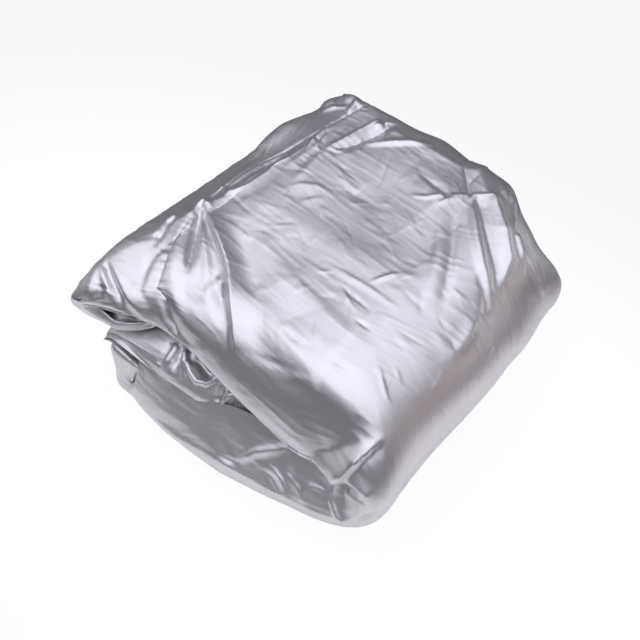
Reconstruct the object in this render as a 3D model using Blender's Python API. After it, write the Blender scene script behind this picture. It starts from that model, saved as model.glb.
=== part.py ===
# A silver taffeta car cover, folded lengthwise into a strip and then back and forth into a loose bundle.
#
# The cloth is a thin sheet that lies in eight layers. Seen from the side with the open folds (the front,
# -Y) its path starts with a free end inside, goes down to the floor, round the big rounded fold on the
# right (+X), over the top, round the pointed fold on the left, and back and forth inside again.
# Along the front and the back every layer turns in towards the inside of its own fold, as a soft lip.
# Two panels are sewn together along a curved seam on the top: the roof panel and the side panel.
# Sizes in the tables are in millimetres. The origin is the middle of the bundle on the floor, +Z is up.

import bpy
import numpy as np

MM = 0.001

# driving sizes, in millimetres
SHEET = 2.4  # thickness of the sheet
GAP = 0.4  # between the two panels along their seam
SHIFT_X, SHIFT_Y = -16.37, -16.86  # brings the middle of the bundle to the origin
LEFT_X, RIGHT_X = -165.0, 190.0  # the bundle's outline, within which the levels are blended
FRONT_Y, BACK_Y = -186.0, 214.0
SLOPE_IN = 95.0  # how far inside the outline a layer reaches its level in the middle
FREE_END_X = -80.0  # where the two free ends lie, inside on the left

# One row a layer, in the order in which the cloth runs. way: +1 runs to the right, -1 to the left.
# The rest are the layer's heights at the front left, front right, back left, back right and the middle.
LAYER_COLUMNS = "name way z_fl z_fr z_bl z_br z_mid".split()
LAYERS = [
    ("tail_low", +1, 58, 36, 60, 36, 47),
    ("base_cover", -1, 54, 22, 48, 22, 28),
    ("base", +1, 1.2, 1.2, 1.2, 1.2, 1.2),
    ("flap_top", -1, 134, 98, 155, 142, 155),
    ("flap_under", +1, 82, 78, 124, 108, 126),
    ("mid_top", -1, 75, 64, 102, 86, 108),
    ("mid_low", +1, 60, 50, 82, 68, 88),
    ("tail_high", -1, 60, 45, 70, 50, 66),
]

# One row a turn, between a layer and the next: how far out it reaches at the front and the back, how deep
# it is, from its outermost point back to where the layers lie flat, and its skew: above 1 the outermost
# point lies nearer to the layer before the turn, below 1 nearer to the layer after it.
TURN_COLUMNS = "name reach_f reach_b depth_f depth_b skew".split()
TURNS = [
    ("tail_low_turn", 112, 116, 10, 10, 1.0),
    ("base_nose", -123, -136, 26, 28, 1.0),
    ("spine", 205, 164, 92, 86, 1.0),
    ("flap_nose", -167, -152, 56, 50, 1.5),
    ("flap_turn", 130, 128, 12, 12, 1.0),
    ("mid_nose", -137, -142, 14, 14, 1.0),
    ("mid_turn", 120, 120, 8, 8, 1.0),
]

# The soft lips along the front and the back. at: the place along the path, counting each layer and each
# turn as one, so 0 to 1 is the first layer and 1 to 2 the first turn. y: how far out the lip reaches.
# turn: how far it turns in there, towards the inside of its fold. round: over how wide a strip it does.
# under: how far the tucked end goes back below it.
LIP_COLUMNS = "at y turn round under".split()
FRONT_LIP = [
    (0.0, -92, 2, 8, -4),
    (2.0, -104, 2, 8, -4),
    (2.5, -122, 3, 8, -3),
    (3.0, -164, 7, 10, 4),
    (3.5, -170, 7, 10, 6),
    (4.0, -176, 12, 14, 12),
    (4.25, -185, 40, 24, 36),
    (4.6, -187, 46, 26, 42),
    (4.85, -180, 40, 26, 40),
    (5.0, -174, 33, 28, 32),
    (5.3, -160, 20, 28, 16),
    (5.7, -151, 20, 32, 14),
    (6.0, -158, 38, 36, 16),
    (6.33, -155, 28, 28, 16),
    (6.6, -149, 23, 22, 12),
    (6.85, -148, 22, 20, 8),
    (7.0, -160, 9, 12, 2),
    (7.3, -168, 3, 8, -5),
    (7.6, -169, 3, 8, -5),
    (8.0, -165, 5, 9, 3),
    (8.1, -148, 5, 9, 3),
    (8.2, -126, 4, 9, -2),
    (9.0, -104, 2, 8, -4),
    (10.0, -108, 3, 10, -5),
    (10.15, -122, 5, 14, -5),
    (10.35, -150, 14, 26, 4),
    (10.5, -160, 19, 32, 8),
    (10.7, -162, 12, 22, 0),
    (10.95, -160, 3, 9, -5),
    (11.5, -164, 3, 8, -5),
    (12.0, -158, 3, 8, -5),
    (12.3, -130, 2, 8, -4),
    (13.0, -100, 2, 8, -4),
    (15.0, -92, 2, 8, -4),
]
BACK_LIP = [
    (0.0, 140, 2, 8, -4),
    (2.0, 150, 2, 8, -4),
    (3.0, 182, 6, 9, 4),
    (3.5, 188, 7, 10, 6),
    (4.0, 194, 10, 12, 10),
    (4.5, 204, 29, 26, 20),
    (5.0, 192, 19, 26, 16),
    (5.25, 182, 10, 20, 8),
    (5.5, 188, 7, 16, 6),
    (5.75, 167, 10, 22, 8),
    (5.9, 188, 17, 30, 12),
    (6.0, 207, 24, 30, 16),
    (6.5, 221, 27, 27, 16),
    (7.0, 213, 12, 20, 10),
    (7.3, 205, 3, 8, -5),
    (7.7, 201, 3, 8, -5),
    (8.0, 202, 6, 9, 4),
    (9.0, 146, 2, 8, -4),
    (10.0, 146, 2, 8, -4),
    (10.5, 186, 9, 18, 8),
    (11.0, 192, 4, 9, -5),
    (11.5, 193, 3, 8, -5),
    (12.0, 186, 3, 8, -5),
    (13.0, 146, 2, 8, -4),
    (15.0, 140, 2, 8, -4),
]
LIP_AT = 0.4  # where, from the tucked end of a lip to the open width, its outermost line lies
LIP_REST = 0.15  # how much further the tucked end turns in, as a share of the turn
LEAST_TUCK = 5.0  # the tucked end reaches at least this far from the outermost line

# The sewn seam, on the top sheet and down its pointed fold: where it is across the cloth, from -1 at the
# front to 2 at the back, and the place along the path there.
SEAM = [
    (-0.6, 6.7),
    (-0.2, 6.8),
    (0.05, 6.92),
    (0.19, 7.08),
    (0.25, 7.15),
    (0.58, 7.15),
    (0.68, 7.06),
    (2.0, 7.02),
]

# Creases and soft folds, laid out as they are seen from the front corner of the bundle, from an eye
# AROUND degrees round from the front, RAISED degrees up and AWAY from a point AIM_Z above the floor.
# across and up are millimetres to the right of and above that point, at its distance.
# on: the first and last place along the path. height: out of the cloth, or into it if below nought,
# at both ends. left, right: how far it spreads to either side of the line.
AROUND, RAISED, AWAY, AIM_Z = 41.0, 46.0, 1300.0, 65.0
SOFTEN = 1  # how many times the folds are evened out over the grid
FULLY_FACING = 0.35  # the folds fade out where the cloth turns away from that eye
FOLD_COLUMNS = "name on_from on_to across0 up0 across1 up1 height0 height1 left right".split()
FOLDS = [
    ("dart_valley", 5.5, 6.8, -22, -142, 56, -124, -20, -4, 16, 26),
    ("dart_ridge", 5.5, 6.3, 20, -164, 56, -134, 6, 2, 14, 12),
    ("tent_ridge", 6.3, 7.3, -112, 98, -86, -12, 6, 12, 16, 20),
    ("tent_ridge_end", 6.3, 7.0, -86, -12, -83, -38, 12, 5, 16, 20),
    ("tent_trough", 6.3, 7.2, -94, 78, -62, -16, -3, -5, 16, 18),
    ("tent_valley", 6.6, 7.5, -117, 94, -136, 48, -6, -5, 14, 14),
    ("seam_trough", 6.4, 7.4, -148, 0, -156, 34, -4, -5, 14, 14),
    ("nose_ridge", 6.6, 7.5, -204, 46, -180, 18, 5, 3, 16, 16),
    ("long_ridge", 6.0, 7.3, -75, 100, 80, 8, 3, 4, 34, 30),
    ("back_trough", 6.0, 7.3, 60, 160, 125, 112, -4, -3, 22, 22),
    ("base_fold", 4.2, 5.2, -88, -152, -34, -137, 5, 4, 14, 16),
    ("mid_loop", 10.2, 11.0, -128, -42, -108, -64, 4, 3, 14, 14),
]

# how many steps each layer and each turn is cut into along the path
LAYER_STEPS = {"tail_low": 4, "base": 9, "flap_top": 17, "tail_high": 4, "mid_top": 10}
TURN_STEPS = {"spine": 16, "flap_nose": 11}
USUAL_LAYER_STEPS, USUAL_TURN_STEPS = 8, 4
# and across: the tucked end, the lip and the open width between the lips
TUCK_STEPS, LIP_STEPS, OPEN_STEPS = 2, 4, 17

SEAM_TURN = 3  # the turn on which the side panel starts, sheared to the seam
SEAM_PLACE = 2 * SEAM_TURN + 1


def column(name):
    return np.array([row[LAYER_COLUMNS.index(name)] for row in LAYERS], float)


def turn_column(name):
    return np.array([row[TURN_COLUMNS.index(name)] for row in TURNS], float)


def smooth(t):
    t = np.clip(t, 0.0, 1.0)
    return t * t * (3.0 - 2.0 * t)


def mix(a, b, t):
    return a + (b - a) * t


# height of a layer at x, y: blended between its corners, and to its middle height well inside
def level(layer, x, y):
    across = np.clip((x - LEFT_X) / (RIGHT_X - LEFT_X), 0.0, 1.0)
    along = np.clip((y - FRONT_Y) / (BACK_Y - FRONT_Y), 0.0, 1.0)
    front = mix(column("z_fl")[layer], column("z_fr")[layer], across)
    back = mix(column("z_bl")[layer], column("z_br")[layer], across)
    inside = smooth(np.minimum(x - LEFT_X, RIGHT_X - x) / SLOPE_IN)
    inside = inside * smooth(np.minimum(y - FRONT_Y, BACK_Y - y) / SLOPE_IN)
    return mix(mix(front, back, along), column("z_mid")[layer], inside)


# outermost x of a turn at y, and the x at which its layers lie flat
def turn_at(turn, y):
    along = np.clip((y - FRONT_Y) / (BACK_Y - FRONT_Y), 0.0, 1.0)
    reach = mix(turn_column("reach_f")[turn], turn_column("reach_b")[turn], along)
    depth = mix(turn_column("depth_f")[turn], turn_column("depth_b")[turn], along)
    return reach, reach - column("way")[turn] * depth


# x and z of the folded path at y, for the place u, in which each layer and each turn counts as one
def fold_line(u, y):
    last = len(LAYERS) - 1
    part = np.minimum(u.astype(int), 2 * last)
    t = u - part
    layer = part // 2
    # a layer runs straight between the flat ends of the turns beside it, or from a free end
    start = np.where(layer == 0, FREE_END_X, turn_at(np.maximum(layer - 1, 0), y)[1])
    end = np.where(layer == last, FREE_END_X, turn_at(np.minimum(layer, last - 1), y)[1])
    flat_x = mix(start, end, t)
    flat_z = level(layer, flat_x, y)
    # a turn is half an ellipse, from its layer to the next
    turn = np.minimum(layer, last - 1)
    reach, root = turn_at(turn, y)
    before = level(turn, root, y)
    after = level(np.minimum(turn + 1, last), root, y)
    turn_x = mix(root, reach, np.sin(np.pi * t))
    turn_z = mix(before, after, ((1.0 - np.cos(np.pi * t)) / 2.0) ** turn_column("skew")[turn])
    turning = part % 2 == 1
    return np.where(turning, turn_x, flat_x), np.where(turning, turn_z, flat_z)


# unit normal of the folded path towards the inside of its fold, in x and z
def inward(u, y):
    step = 1e-3
    end = 2 * len(LAYERS) - 1 - 1e-6
    x0, z0 = fold_line(np.clip(u - step, 0, end), y)
    x1, z1 = fold_line(np.clip(u + step, 0, end), y)
    size = np.hypot(x1 - x0, z1 - z0)
    return -(z1 - z0) / size, (x1 - x0) / size


def lip_value(table, name, u):
    at = np.array([row[0] for row in table], float)
    size = np.array([row[LIP_COLUMNS.index(name)] for row in table], float)
    return np.interp(u, at, size)


# a lip in section: how far inwards from its outermost line, and how far it has turned in, for a fraction
# that runs from 0 at the tucked end, through LIP_AT at the outermost line, to 1 at the open width
def lip(table, u, fraction):
    turn = lip_value(table, "turn", u)
    under = np.clip(fraction / LIP_AT, 0.0, 1.0) * np.pi / 2
    over = np.clip((fraction - LIP_AT) / (1.0 - LIP_AT), 0.0, 1.0) * np.pi / 2
    tucked = fraction < LIP_AT
    back = lip_value(table, "under", u)
    rest = np.maximum(turn * LIP_REST, np.sqrt(np.maximum(LEAST_TUCK**2 - back**2, 0.0)))
    below_in = back * (1.0 - np.sin(under))
    above_in = lip_value(table, "round", u) * (1.0 - np.cos(over))
    below_turned = turn + rest * np.cos(under)
    above_turned = turn * (1.0 - np.sin(over))
    return np.where(tucked, below_in, above_in), np.where(tucked, below_turned, above_turned)


# the cloth's middle surface, for the place u and a fraction across: -1 to 0 is the front lip, 0 to 1 the
# open width and 1 to 2 the back lip
def surface(u, fraction):
    front, back = lip_value(FRONT_LIP, "y", u), lip_value(BACK_LIP, "y", u)
    front_in, front_turned = lip(FRONT_LIP, u, np.clip(fraction + 1.0, 0.0, 1.0))
    back_in, back_turned = lip(BACK_LIP, u, np.clip(2.0 - fraction, 0.0, 1.0))
    open_front = front + lip_value(FRONT_LIP, "round", u)
    open_back = back - lip_value(BACK_LIP, "round", u)
    y = mix(open_front, open_back, np.clip(fraction, 0.0, 1.0))
    y = np.where(fraction < 0.0, front + front_in, np.where(fraction > 1.0, back - back_in, y))
    turned = np.where(fraction < 0.0, front_turned, np.where(fraction > 1.0, back_turned, 0.0))
    x, z = fold_line(u, y)
    inward_x, inward_z = inward(u, y)
    return np.stack([x + inward_x * turned, y, z + inward_z * turned], axis=-1)


# where points are seen from the front corner, in millimetres across and up at the aim's distance, and
# how squarely a surface with these normals faces the eye
def seen(points, normal):
    round_angle, up_angle = np.radians([AROUND, RAISED])
    back = np.array(
        [
            np.sin(round_angle) * np.cos(up_angle),
            -np.cos(round_angle) * np.cos(up_angle),
            np.sin(up_angle),
        ]
    )
    right = np.array([np.cos(round_angle), np.sin(round_angle), 0.0])
    above = np.cross(back, right)
    aim = np.array([0.0, 0.0, AIM_Z])
    offset = points - (aim + back * AWAY)
    size = AWAY / (-(offset @ back))
    return (offset @ right) * size, (offset @ above) * size, -(normal @ back)


# how far the creases and folds push the cloth out at each point, where it faces the eye
def pushed(points, normal, u):
    across, up, facing = seen(points, normal)
    total = np.zeros(u.shape)
    for fold in FOLDS:
        _, on_from, on_to, across0, up0, across1, up1, height0, height1, left, right = fold
        run = np.hypot(across1 - across0, up1 - up0)
        way_x, way_y = (across1 - across0) / run, (up1 - up0) / run
        along = ((across - across0) * way_x + (up - up0) * way_y) / run
        aside = (up - up0) * way_x - (across - across0) * way_y
        spread = np.where(aside > 0.0, left, right)
        past = (along - np.clip(along, 0.0, 1.0)) * run
        far = np.hypot(aside / spread, past / np.minimum(left, right))
        height = mix(height0, height1, np.clip(along, 0.0, 1.0))
        here = (u > on_from) & (u < on_to)
        total += np.where(here, height * (1.0 - smooth(far)), 0.0)
    total = total * smooth(facing / FULLY_FACING)
    for _ in range(SOFTEN):
        total = soften(soften(total).T).T
    return total


# every grid line takes a share of its neighbours
def soften(grid):
    padded = np.concatenate([grid[:1], grid, grid[-1:]])
    return (padded[:-2] + 2.0 * padded[1:-1] + padded[2:]) / 4.0


def path_stations():
    parts = []
    for i, row in enumerate(LAYERS):
        steps = LAYER_STEPS.get(row[0], USUAL_LAYER_STEPS)
        parts.append(2 * i + np.arange(steps) / steps)
        if i < len(TURNS):
            steps = TURN_STEPS.get(TURNS[i][0], USUAL_TURN_STEPS)
            parts.append(2 * i + 1 + np.arange(steps) / steps)
    return np.concatenate(parts + [[2 * len(LAYERS) - 1 - 1e-6]])


def width_stations():
    tuck = LIP_AT * np.arange(TUCK_STEPS) / TUCK_STEPS
    rise = LIP_AT + (1.0 - LIP_AT) * np.arange(LIP_STEPS) / LIP_STEPS
    lip_part = np.concatenate([tuck, rise])
    open_part = np.arange(OPEN_STEPS + 1) / OPEN_STEPS
    return np.concatenate([lip_part - 1.0, open_part, 2.0 - lip_part[::-1]])


# shears the top sheet and its pointed fold along the path, so that one grid line runs down the seam
def to_seam(u, fraction):
    across = np.array([row[0] for row in SEAM], float)
    place = np.array([row[1] for row in SEAM], float)
    seam = np.interp(fraction, across, place)
    start, end = SEAM_PLACE - 1, SEAM_PLACE + 1
    before = mix(start, seam, u - start)
    after = mix(seam, end, u - SEAM_PLACE)
    sheared = np.where(u < SEAM_PLACE, before, after)
    return np.where((u > start) & (u < end), sheared, u)


def unit(vectors):
    return vectors / np.linalg.norm(vectors, axis=-1, keepdims=True)


def grid_faces(index):
    corners = [index[:-1, :-1], index[1:, :-1], index[1:, 1:], index[:-1, 1:]]
    return np.stack(corners, axis=-1).reshape(-1, 4)


# one panel: a closed sheet of even thickness on a grid of its middle surface
def panel(name, middle, normal, material):
    rows, columns = middle.shape[:2]
    half = SHEET / 2
    points = np.concatenate([middle + normal * half, middle - normal * half]).reshape(-1, 3)
    shift = np.array([SHIFT_X, SHIFT_Y, 0.0])
    top = np.arange(rows * columns).reshape(rows, columns)
    low = top + rows * columns
    faces = [grid_faces(top), grid_faces(low[:, ::-1])]
    around_top = np.concatenate([top[:-1, 0], top[-1, :-1], top[:0:-1, -1], top[0, :0:-1]])
    around_low = around_top + rows * columns
    next_top, next_low = np.roll(around_top, -1), np.roll(around_low, -1)
    faces.append(np.stack([around_top, around_low, next_low, next_top], axis=-1))
    mesh = bpy.data.meshes.new(name)
    mesh.from_pydata(((points + shift) * MM).tolist(), [], np.concatenate(faces).tolist())
    mesh.materials.append(material)
    mesh.polygons.foreach_set("use_smooth", [True] * len(mesh.polygons))
    mesh.update()
    obj = bpy.data.objects.new(name, mesh)
    bpy.context.scene.collection.objects.link(obj)
    return obj


def cloth_material(name, color, roughness, metallic):
    material = bpy.data.materials.new(name)
    material.use_nodes = True
    shader = material.node_tree.nodes["Principled BSDF"]
    shader.inputs["Base Color"].default_value = (*color, 1.0)
    shader.inputs["Roughness"].default_value = roughness
    shader.inputs["Metallic"].default_value = metallic
    return material


def build():
    stations, fractions = path_stations(), width_stations()
    u, fraction = np.meshgrid(stations, fractions, indexing="ij")
    u = to_seam(u, fraction)
    middle = surface(u, fraction)
    normal = unit(np.cross(np.gradient(middle, axis=0), np.gradient(middle, axis=1)))
    push = -normal * pushed(middle, normal, u)[..., None]
    push[:, :TUCK_STEPS] = push[:, TUCK_STEPS : TUCK_STEPS + 1]
    push[:, -TUCK_STEPS:] = push[:, -TUCK_STEPS - 1 : -TUCK_STEPS]
    middle = middle + push
    along = np.gradient(middle, axis=0)
    normal = unit(np.cross(along, np.gradient(middle, axis=1)))
    seam = int(np.argmin(np.abs(stations - SEAM_PLACE)))
    down_seam = np.gradient(middle[seam], axis=0)
    step = unit(np.cross(down_seam, normal[seam])) * GAP / 2
    step = step * np.sign(np.sum(step * along[seam], axis=-1, keepdims=True))
    silver = cloth_material("silver_cloth", (0.33, 0.32, 0.36), 0.38, 0.75)
    roof = middle[: seam + 1].copy()
    roof[-1] -= step
    panel("roof_panel", roof, normal[: seam + 1], silver)
    side = middle[seam:].copy()
    side[0] += step
    panel("side_panel", side, normal[seam:], silver.copy())


for old in list(bpy.data.objects):
    bpy.data.objects.remove(old)
build()
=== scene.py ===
import bpy
import numpy as np
from mathutils import Matrix


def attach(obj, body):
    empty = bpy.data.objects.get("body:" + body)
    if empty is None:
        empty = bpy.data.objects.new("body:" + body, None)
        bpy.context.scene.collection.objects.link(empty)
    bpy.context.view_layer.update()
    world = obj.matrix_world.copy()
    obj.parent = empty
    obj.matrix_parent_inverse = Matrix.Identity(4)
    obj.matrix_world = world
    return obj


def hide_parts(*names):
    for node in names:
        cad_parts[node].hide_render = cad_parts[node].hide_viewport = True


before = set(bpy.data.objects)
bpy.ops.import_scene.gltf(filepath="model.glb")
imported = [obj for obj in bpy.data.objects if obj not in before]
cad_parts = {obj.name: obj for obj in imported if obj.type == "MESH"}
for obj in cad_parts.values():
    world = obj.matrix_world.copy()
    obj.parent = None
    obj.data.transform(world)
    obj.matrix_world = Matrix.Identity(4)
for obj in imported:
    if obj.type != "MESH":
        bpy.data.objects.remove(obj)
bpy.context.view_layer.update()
mm = 0.001
print("frame loaded")


# an eased step: 3 t squared less 2 t cubed, held at 0 below 0 and at 1 above 1
def smooth(t):
    t = np.clip(t, 0.0, 1.0)
    return t * t * (3.0 - 2.0 * t)


# the value that lies the share t of the way from a to b
def mix(a, b, t):
    return a + (b - a) * t


# each vector over its own length
def unit(vectors):
    return vectors / np.maximum(np.linalg.norm(vectors, axis=-1, keepdims=True), 1e-9)


# The bundle, in millimetres. Change these to fold it larger, wider or flatter.
bundle = {
    "shift": (-16.37, -16.86),  # brings the middle of the bundle to the origin
    "left": -165.0,
    "right": 190.0,
    "front": -186.0,
    "back": 214.0,
    "slopeIn": 95.0,  # how far inside the outline a layer reaches its level in the middle
    "freeEnd": -80.0,  # x of the two free ends, inside on the left
    "lipAt": 0.4,  # where a lip's outermost line lies, from its tucked end to the open width
    "lipRest": 0.15,  # how much further the tucked end turns in, as a share of the turn
    "leastTuck": 5.0,  # the least distance the tucked end goes in and back
    "evenBend": 1.12,  # how an even slope bends upright at the outermost line, 1 for not at all
    "ease": 0.09,  # how softly the rows of the tables below run into each other
}

# the layers in the order in which the cloth runs: way (+1 to the right), heights at the front left,
# front right, back left, back right and in the middle
layers = {
    "tailLow": (+1, 58, 36, 60, 36, 47),
    "baseCover": (-1, 54, 22, 48, 22, 28),
    "base": (+1, 1.2, 1.2, 1.2, 1.2, 1.2),
    "flapTop": (-1, 134, 98, 155, 142, 155),
    "flapUnder": (+1, 82, 78, 124, 108, 126),
    "midTop": (-1, 75, 64, 102, 86, 108),
    "midLow": (+1, 60, 50, 82, 68, 88),
    "tailHigh": (-1, 60, 45, 70, 50, 66),
}

# the turns between them: reach at the front and back, depth at the front and back, and skew
turns = {
    "tailLowTurn": (112, 116, 10, 10, 1.0),
    "baseNose": (-123, -136, 26, 28, 1.0),
    "spine": (205, 164, 92, 86, 1.0),
    "flapNose": (-167, -152, 56, 50, 1.5),
    "flapTurn": (130, 128, 12, 12, 1.0),
    "midNose": (-137, -142, 14, 14, 1.0),
    "midTurn": (120, 120, 8, 8, 1.0),
}

# the lips: place along the path, y of the outermost line, how far it turns in, over how wide a strip,
# and how far the tucked end goes back below
frontLip = [
    (0.0, -92, 2, 8, -4),
    (2.0, -104, 2, 8, -4),
    (2.5, -122, 3, 8, -3),
    (3.0, -162, 6, 10, 4),
    (3.15, -165, 6, 10, 1),
    (3.35, -168, 7, 10, 1),
    (3.5, -169, 7, 10, 4),
    (3.7, -171, 9, 12, 14),
    (4.0, -173, 14, 14, 22),
    (4.22, -182, 20, 16, 25),
    (4.4, -185, 22, 18, 26),
    (4.6, -186, 26, 22, 34),
    (4.85, -180, 30, 26, 34),
    (5.0, -174, 33, 28, 31),
    (5.15, -167, 27, 28, 27),
    (5.3, -160, 20, 28, 23),
    (5.7, -151, 20, 32, 16),
    (6.0, -158, 38, 36, 16),
    (6.33, -155, 28, 28, 16),
    (6.6, -149, 23, 22, 12),
    (6.85, -148, 22, 20, 8),
    (7.0, -160, 9, 12, 2),
    (7.25, -167, 12, 10, 3),
    (7.55, -169, 24, 12, 5),
    (7.8, -168, 20, 12, 5),
    (8.0, -165, 9, 9, 3),
    (8.1, -148, 5, 9, 3),
    (8.2, -126, 4, 9, -2),
    (9.0, -104, 2, 8, -4),
    (10.0, -108, 3, 10, -5),
    (10.15, -122, 5, 14, -5),
    (10.35, -150, 14, 26, 4),
    (10.5, -160, 19, 32, 8),
    (10.7, -162, 12, 22, 0),
    (10.95, -160, 3, 9, -5),
    (11.5, -164, 3, 8, -5),
    (12.0, -158, 3, 8, -5),
    (12.3, -130, 2, 8, -4),
    (13.0, -100, 2, 8, -4),
    (15.0, -92, 2, 8, -4),
]
backLip = [
    (0.0, 140, 2, 8, -4),
    (2.0, 150, 2, 8, -4),
    (3.0, 182, 6, 9, 4),
    (3.5, 188, 7, 10, 6),
    (4.0, 194, 10, 12, 10),
    (4.5, 204, 29, 26, 20),
    (5.0, 192, 19, 26, 16),
    (5.25, 182, 10, 20, 8),
    (5.5, 188, 7, 16, 6),
    (5.75, 167, 10, 22, 8),
    (5.9, 188, 17, 30, 12),
    (6.0, 207, 24, 30, 16),
    (6.5, 221, 27, 27, 16),
    (7.0, 213, 12, 20, 10),
    (7.3, 205, 3, 8, -5),
    (7.7, 201, 3, 8, -5),
    (8.0, 202, 6, 9, 4),
    (9.0, 146, 2, 8, -4),
    (10.0, 146, 2, 8, -4),
    (10.5, 186, 9, 18, 8),
    (11.0, 192, 4, 9, -5),
    (11.5, 193, 3, 8, -5),
    (12.0, 186, 3, 8, -5),
    (13.0, 146, 2, 8, -4),
    (15.0, 140, 2, 8, -4),
]

# how much further the tucked face of the front lip climbs, by place along the path, and how evenly it
# slopes: 0 is a quarter ellipse, 1 a nearly even slope. It closes the end of the bottom fold on the left,
# its front face, and the end of the big rounded fold.
frontRise = [
    (0.0, 0, 0),
    (2.8, 0, 0),
    (3.0, 2, 0.5),
    (3.2, 13, 1),
    (3.35, 22, 1),
    (3.5, 30, 1),
    (3.8, 32, 1),
    (4.0, 36, 1),
    (4.15, 37, 1),
    (4.4, 37, 1),
    (4.6, 48, 1),
    (4.85, 48, 1),
    (5.0, 43, 1),
    (5.15, 43, 1),
    (5.35, 36, 1),
    (5.6, 32, 1),
    (5.75, 22, 0.6),
    (5.88, 8, 0),
    (6.0, 0, 0),
    (15.0, 0, 0),
]

# the sewn seam: where it is across the cloth, from -1 at the front to 2 at the back, and its place
seamLine = [
    (-0.6, 6.7),
    (-0.2, 6.8),
    (0.05, 6.91),
    (0.19, 7.0),
    (0.25, 7.05),
    (0.4, 7.13),
    (0.58, 7.15),
    (0.68, 7.06),
    (2.0, 7.02),
]
seamPlace = 7

# a place along the path: an even whole number starts a layer, and an odd one the turn after it
layerRows = np.array(list(layers.values()), float)
turnRows = np.array(list(turns.values()), float)
lastLayer = len(layerRows) - 1
lastPlace = 2 * lastLayer + 1
pathEnd = lastPlace - 1e-6  # the last place, kept just inside its layer
smallStep = 1e-3  # the step along the path that its direction is worked out over
tableSteps = 3001  # how finely the tables above are cut up before they are eased


# a table's column against its first one, run through a moving average so that its rows meet softly
def easedTable(rows, ease):
    rows = np.array(rows, float)
    fine = np.linspace(rows[0, 0], rows[-1, 0], tableSteps)
    reach = max(1, int(ease / (fine[1] - fine[0])))
    kernel = np.hanning(2 * reach + 1)
    kernel = kernel / kernel.sum()
    columns = []
    for k in range(1, rows.shape[1]):
        line = np.interp(fine, rows[:, 0], rows[:, k])
        padded = np.concatenate([np.full(reach, line[0]), line, np.full(reach, line[-1])])
        columns.append(np.convolve(padded, kernel, "valid"))
    return fine, columns


frontTable = easedTable(frontLip, bundle["ease"])
riseTable = easedTable(frontRise, bundle["ease"])
backTable = easedTable(backLip, bundle["ease"])
seamTable = easedTable(seamLine, bundle["ease"])


# height of a layer: bilinear between its corners, eased to its middle height well inside
def level(layer, x, y):
    row = layerRows[layer]
    across = np.clip((x - bundle["left"]) / (bundle["right"] - bundle["left"]), 0.0, 1.0)
    along = np.clip((y - bundle["front"]) / (bundle["back"] - bundle["front"]), 0.0, 1.0)
    front = mix(row[..., 1], row[..., 2], across)
    back = mix(row[..., 3], row[..., 4], across)
    inside = smooth(np.minimum(x - bundle["left"], bundle["right"] - x) / bundle["slopeIn"])
    inside = inside * smooth(np.minimum(y - bundle["front"], bundle["back"] - y) / bundle["slopeIn"])
    return mix(mix(front, back, along), row[..., 5], inside)


# outermost x of a turn at y, and the x at which its layers lie flat
def turnAt(turn, y):
    row = turnRows[turn]
    along = np.clip((y - bundle["front"]) / (bundle["back"] - bundle["front"]), 0.0, 1.0)
    reach = mix(row[..., 0], row[..., 1], along)
    depth = mix(row[..., 2], row[..., 3], along)
    return reach, reach - layerRows[turn][..., 0] * depth


# the folded path at y: straight layers, and turns that are half ellipses with a skew
def foldLine(u, y):
    part = np.minimum(u.astype(int), 2 * lastLayer)
    t = u - part
    layer = part // 2
    start = np.where(layer == 0, bundle["freeEnd"], turnAt(np.maximum(layer - 1, 0), y)[1])
    end = np.where(layer == lastLayer, bundle["freeEnd"], turnAt(np.minimum(layer, lastLayer - 1), y)[1])
    flatX = mix(start, end, t)
    flatZ = level(layer, flatX, y)
    turn = np.minimum(layer, lastLayer - 1)
    reach, root = turnAt(turn, y)
    before, after = level(turn, root, y), level(turn + 1, root, y)
    turnX = mix(root, reach, np.sin(np.pi * t))
    turnZ = mix(before, after, ((1.0 - np.cos(np.pi * t)) / 2.0) ** turnRows[turn][..., 4])
    turning = part % 2 == 1
    return np.where(turning, turnX, flatX), np.where(turning, turnZ, flatZ)


# unit normal of the folded path towards the inside of its fold, by a small difference along it
def inward(u, y):
    x0, z0 = foldLine(np.clip(u - smallStep, 0, pathEnd), y)
    x1, z1 = foldLine(np.clip(u + smallStep, 0, pathEnd), y)
    size = np.hypot(x1 - x0, z1 - z0)
    return -(z1 - z0) / size, (x1 - x0) / size


# a lip in section: a quarter ellipse above its outermost line, and below it another one, or a mix of it
# and a nearly even slope, a power of the share run
def lip(table, u, fraction, rise=0.0, even=0.0):
    turn, wide, back = (np.interp(u, table[0], table[1][k]) for k in (1, 2, 3))
    least = np.sqrt(np.maximum(bundle["leastTuck"] ** 2 - back**2, 0.0))
    rest = np.maximum(turn * bundle["lipRest"], least) + rise
    under = np.clip(fraction / bundle["lipAt"], 0.0, 1.0) * np.pi / 2
    over = np.clip((fraction - bundle["lipAt"]) / (1.0 - bundle["lipAt"]), 0.0, 1.0) * np.pi / 2
    tucked = fraction < bundle["lipAt"]
    run = 1.0 - under / (np.pi / 2)
    tuckedIn = back * mix(1.0 - np.sin(under), run ** bundle["evenBend"], even)
    tuckedTurn = turn + rest * mix(np.cos(under), run, even)
    inwards = np.where(tucked, tuckedIn, wide * (1.0 - np.cos(over)))
    turned = np.where(tucked, tuckedTurn, turn * (1.0 - np.sin(over)))
    return inwards, turned, wide


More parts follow.
